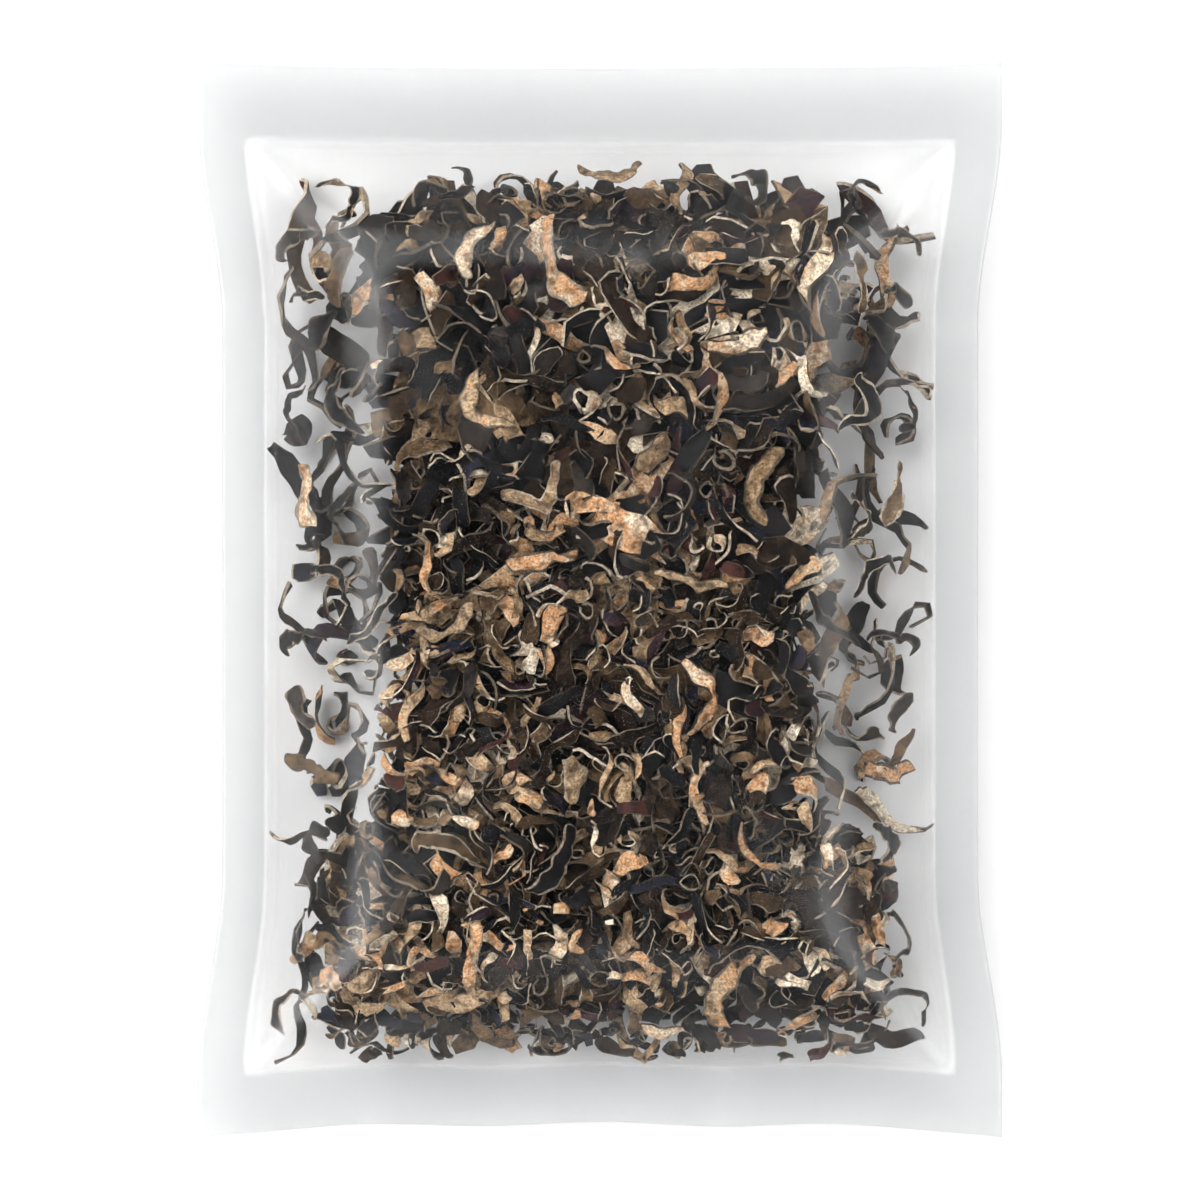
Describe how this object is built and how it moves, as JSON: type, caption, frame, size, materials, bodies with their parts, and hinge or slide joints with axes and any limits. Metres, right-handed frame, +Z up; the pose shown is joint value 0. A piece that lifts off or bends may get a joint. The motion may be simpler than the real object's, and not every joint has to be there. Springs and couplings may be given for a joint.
{
  "type": "sealed clear pouch of shredded dried wood ear mushroom",
  "caption": "Clear plastic pouch, heat-sealed on all four sides and packed with curled, shredded dried wood ear mushroom, black on one face and tan on the other.",
  "frame": {"origin": "middle of the pouch's footprint, on the surface that it lies on", "axes": "+Z up out of the front film, +Y along the pouch towards its wider, top seal, +X across it to the right"},
  "size_m": [0.201, 0.2688, 0.0399],
  "materials": {
    "clear_film": "gloss",
    "packed_wood_ear": "matte",
    "wood_ear_dark_face": "satin",
    "wood_ear_tan_face": "matte"
  },
  "bodies": {
    "root": {"back_film": "clear_film", "front_film": "clear_film", "packed_shreds": "packed_wood_ear", "shred_bottom_corner_loop_left": "wood_ear_dark_face", "shred_bottom_corner_loop_right": "wood_ear_dark_face", "shred_bottom_hook": "wood_ear_tan_face", "shred_bottom_side_strand_left": "wood_ear_dark_face", "shred_bottom_side_strand_right": "wood_ear_dark_face", "shred_cream_chip": "wood_ear_tan_face", "shred_cream_hook": "wood_ear_tan_face", "shred_dark_leaf": "wood_ear_dark_face", "shred_knotted_wave": "wood_ear_tan_face", "shred_left_arc": "wood_ear_tan_face", "shred_left_hook": "wood_ear_tan_face", "shred_long_wave": "wood_ear_tan_face", "shred_lower_pale_strip_left": "wood_ear_tan_face", "shred_lower_pale_strip_right": "wood_ear_tan_face", "shred_lower_side_wave_left": "wood_ear_dark_face", "shred_lower_side_wave_right": "wood_ear_dark_face", "shred_middle_chip": "wood_ear_tan_face", "shred_middle_curl_left": "wood_ear_dark_face", "shred_middle_curl_right": "wood_ear_dark_face", "shred_middle_strip": "wood_ear_tan_face", "shred_middle_tan_strip_left": "wood_ear_tan_face", "shred_middle_tan_strip_right": "wood_ear_tan_face", "shred_middle_wave_left": "wood_ear_dark_face", "shred_middle_wave_right": "wood_ear_dark_face", "shred_pale_curl": "wood_ear_tan_face", "shred_right_arc": "wood_ear_tan_face", "shred_right_hook": "wood_ear_tan_face", "shred_right_strip": "wood_ear_tan_face", "shred_shoulder_chip": "wood_ear_tan_face", "shred_shoulder_strand_left": "wood_ear_dark_face", "shred_shoulder_strand_right": "wood_ear_dark_face", "shred_shoulder_strip_left": "wood_ear_dark_face", "shred_shoulder_strip_right": "wood_ear_dark_face", "shred_sickle": "wood_ear_tan_face", "shred_tan_hook": "wood_ear_tan_face", "shred_top_arch": "wood_ear_tan_face", "shred_top_corner_hook_left": "wood_ear_dark_face", "shred_top_corner_hook_right": "wood_ear_dark_face", "shred_top_corner_loop_left": "wood_ear_dark_face", "shred_top_corner_loop_right": "wood_ear_dark_face", "shred_top_left_curl": "wood_ear_dark_face", "shred_top_right_curl": "wood_ear_dark_face", "shred_upper_pale_strip_left": "wood_ear_tan_face", "shred_upper_pale_strip_right": "wood_ear_tan_face", "shred_upper_side_chip_left": "wood_ear_dark_face", "shred_upper_side_chip_right": "wood_ear_dark_face", "shred_upper_side_curl_left": "wood_ear_dark_face", "shred_upper_side_curl_right": "wood_ear_dark_face", "shred_upright_wave": "wood_ear_tan_face", "shred_waist_bud_left": "wood_ear_dark_face", "shred_waist_bud_right": "wood_ear_dark_face", "shred_waist_hook_left": "wood_ear_dark_face", "shred_waist_hook_right": "wood_ear_dark_face", "shred_waist_strip_left": "wood_ear_dark_face", "shred_waist_strip_right": "wood_ear_dark_face"}
  },
  "joints": []
}
